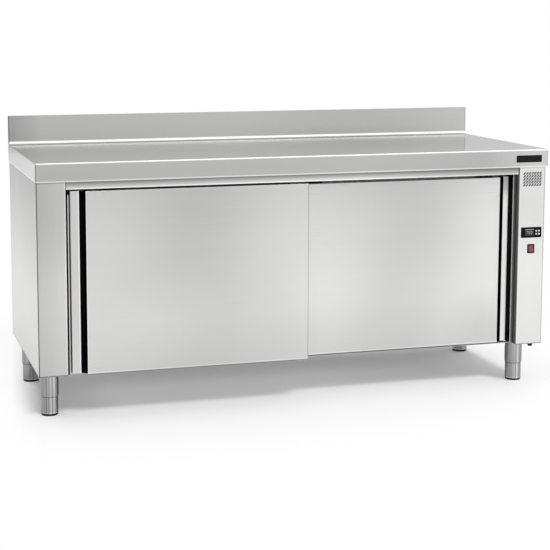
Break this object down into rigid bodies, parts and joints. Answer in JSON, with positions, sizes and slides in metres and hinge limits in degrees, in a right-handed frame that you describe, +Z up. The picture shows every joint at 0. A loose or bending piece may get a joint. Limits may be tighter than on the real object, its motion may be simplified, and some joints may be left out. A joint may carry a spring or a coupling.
{
  "type": "hot food table",
  "caption": "Stainless heated cupboard with a worktop and rear upstand, hung sliding doors with finger pulls, an inner shelf, a fan heater, a control column and adjustable feet.",
  "frame": {"origin": "on the floor, under the middle of the overall box", "axes": "+X to the right along the doors as seen from the front, +Y from the doors towards the upstand, +Z up"},
  "size_m": [1.8, 0.7, 0.954],
  "materials": {
    "stainless": "brushed stainless sheet",
    "bright_steel": "bright zinc-plated steel",
    "heater_sheath": "heat-tinted tube",
    "dark_plastic": "moulded",
    "black_plastic": "moulded black",
    "mineral_wool": "fibre slab",
    "motor_paint": "dark enamel",
    "display_window": "dark window",
    "red_plastic": "translucent red, moulded",
    "white_plastic": "moulded",
    "pad_rubber": "moulded",
    "roller_nylon": "turned nylon"
  },
  "bodies": {
    "cabinet": {"worktop": "stainless", "worktop_stiffeners": "stainless", "left_side_panel": "stainless", "right_side_panel": "stainless", "control_panel": "stainless", "back_panel": "stainless", "base_tray": "stainless", "front_rail": "stainless", "track_carrier": "stainless", "left_liner": "stainless", "right_liner": "stainless", "back_liner": "stainless", "chamber_floor": "stainless", "chamber_ceiling": "stainless", "shelf": "stainless", "shelf_supports": "stainless", "leg_sleeves": "stainless", "air_baffle": "stainless", "front_track": "bright_steel", "rear_track": "bright_steel", "temperature_probe": "bright_steel", "heating_element": "heater_sheath", "floor_guide": "dark_plastic", "track_stops": "dark_plastic", "cable_gland": "dark_plastic", "controller_housing": "black_plastic", "switch_housing": "black_plastic", "insulation": "mineral_wool", "fan_motor": "motor_paint", "controller_window": "display_window"},
    "left_door": {"left_door_front": "stainless", "left_door_back": "stainless", "left_door_core": "mineral_wool", "left_door_guide": "stainless", "left_door_handle": "stainless", "left_door_hangers": "bright_steel"},
    "left_door_roller_outer": {"left_door_roller_outer": "roller_nylon"},
    "left_door_roller_inner": {"left_door_roller_inner": "roller_nylon"},
    "right_door": {"right_door_front": "stainless", "right_door_back": "stainless", "right_door_core": "mineral_wool", "right_door_guide": "stainless", "right_door_handle": "stainless", "right_door_hangers": "bright_steel"},
    "right_door_roller_outer": {"right_door_roller_outer": "roller_nylon"},
    "right_door_roller_inner": {"right_door_roller_inner": "roller_nylon"},
    "foot_front_left": {"foot_front_left": "stainless", "foot_pad_front_left": "pad_rubber"},
    "foot_front_right": {"foot_front_right": "stainless", "foot_pad_front_right": "pad_rubber"},
    "foot_back_left": {"foot_back_left": "stainless", "foot_pad_back_left": "pad_rubber"},
    "foot_back_right": {"foot_back_right": "stainless", "foot_pad_back_right": "pad_rubber"},
    "button_1": {"button_1": "white_plastic"},
    "button_2": {"button_2": "white_plastic"},
    "button_3": {"button_3": "white_plastic"},
    "button_4": {"button_4": "white_plastic"},
    "switch_rocker": {"switch_rocker": "red_plastic"},
    "fan_impeller": {"fan_impeller": "stainless"}
  },
  "joints": [
    {"name": "left_door_slide", "type": "slide", "parent": "cabinet", "child": "left_door", "axis": [1, 0, 0], "range_m": [0, 0.74]},
    {"name": "right_door_slide", "type": "slide", "parent": "cabinet", "child": "right_door", "axis": [1, 0, 0], "range_m": [-0.74, 0]},
    {"name": "left_door_roller_outer_spin", "type": "hinge", "parent": "left_door", "child": "left_door_roller_outer", "pos_m": [-0.702, -0.323, 0.8038], "axis": [0, 1, 0], "continuous": true},
    {"name": "left_door_roller_inner_spin", "type": "hinge", "parent": "left_door", "child": "left_door_roller_inner", "pos_m": [-0.067, -0.323, 0.8038], "axis": [0, 1, 0], "continuous": true},
    {"name": "right_door_roller_outer_spin", "type": "hinge", "parent": "right_door", "child": "right_door_roller_outer", "pos_m": [0.6995, -0.273, 0.7968], "axis": [0, 1, 0], "continuous": true},
    {"name": "right_door_roller_inner_spin", "type": "hinge", "parent": "right_door", "child": "right_door_roller_inner", "pos_m": [0.0645, -0.273, 0.7968], "axis": [0, 1, 0], "continuous": true},
    {"name": "foot_front_left_screw", "type": "slide", "parent": "cabinet", "child": "foot_front_left", "axis": [0, 0, 1], "range_m": [-0.012, 0.02]},
    {"name": "foot_front_right_screw", "type": "slide", "parent": "cabinet", "child": "foot_front_right", "axis": [0, 0, 1], "range_m": [-0.012, 0.02]},
    {"name": "foot_back_left_screw", "type": "slide", "parent": "cabinet", "child": "foot_back_left", "axis": [0, 0, 1], "range_m": [-0.012, 0.02]},
    {"name": "foot_back_right_screw", "type": "slide", "parent": "cabinet", "child": "foot_back_right", "axis": [0, 0, 1], "range_m": [-0.012, 0.02]},
    {"name": "button_1_press", "type": "slide", "parent": "cabinet", "child": "button_1", "axis": [0, 1, 0], "range_m": [0, 0.0008], "stiffness_N_per_m": 500},
    {"name": "button_2_press", "type": "slide", "parent": "cabinet", "child": "button_2", "axis": [0, 1, 0], "range_m": [0, 0.0008], "stiffness_N_per_m": 500},
    {"name": "button_3_press", "type": "slide", "parent": "cabinet", "child": "button_3", "axis": [0, 1, 0], "range_m": [0, 0.0008], "stiffness_N_per_m": 500},
    {"name": "button_4_press", "type": "slide", "parent": "cabinet", "child": "button_4", "axis": [0, 1, 0], "range_m": [0, 0.0008], "stiffness_N_per_m": 500},
    {"name": "switch_rocker_tilt", "type": "hinge", "parent": "cabinet", "child": "switch_rocker", "pos_m": [0.8435, -0.343, 0.498], "axis": [1, 0, 0], "range_deg": [0, 14]},
    {"name": "fan_spin", "type": "hinge", "parent": "cabinet", "child": "fan_impeller", "pos_m": [0.764, 0.0365, 0.315], "axis": [1, 0, 0], "continuous": true}
  ],
  "couplings": [
    {"joint": "left_door_roller_outer_spin", "follows": "left_door_slide", "rad_per_m": 84.746},
    {"joint": "left_door_roller_inner_spin", "follows": "left_door_slide", "rad_per_m": 84.746},
    {"joint": "right_door_roller_outer_spin", "follows": "right_door_slide", "rad_per_m": 84.746},
    {"joint": "right_door_roller_inner_spin", "follows": "right_door_slide", "rad_per_m": 84.746}
  ]
}
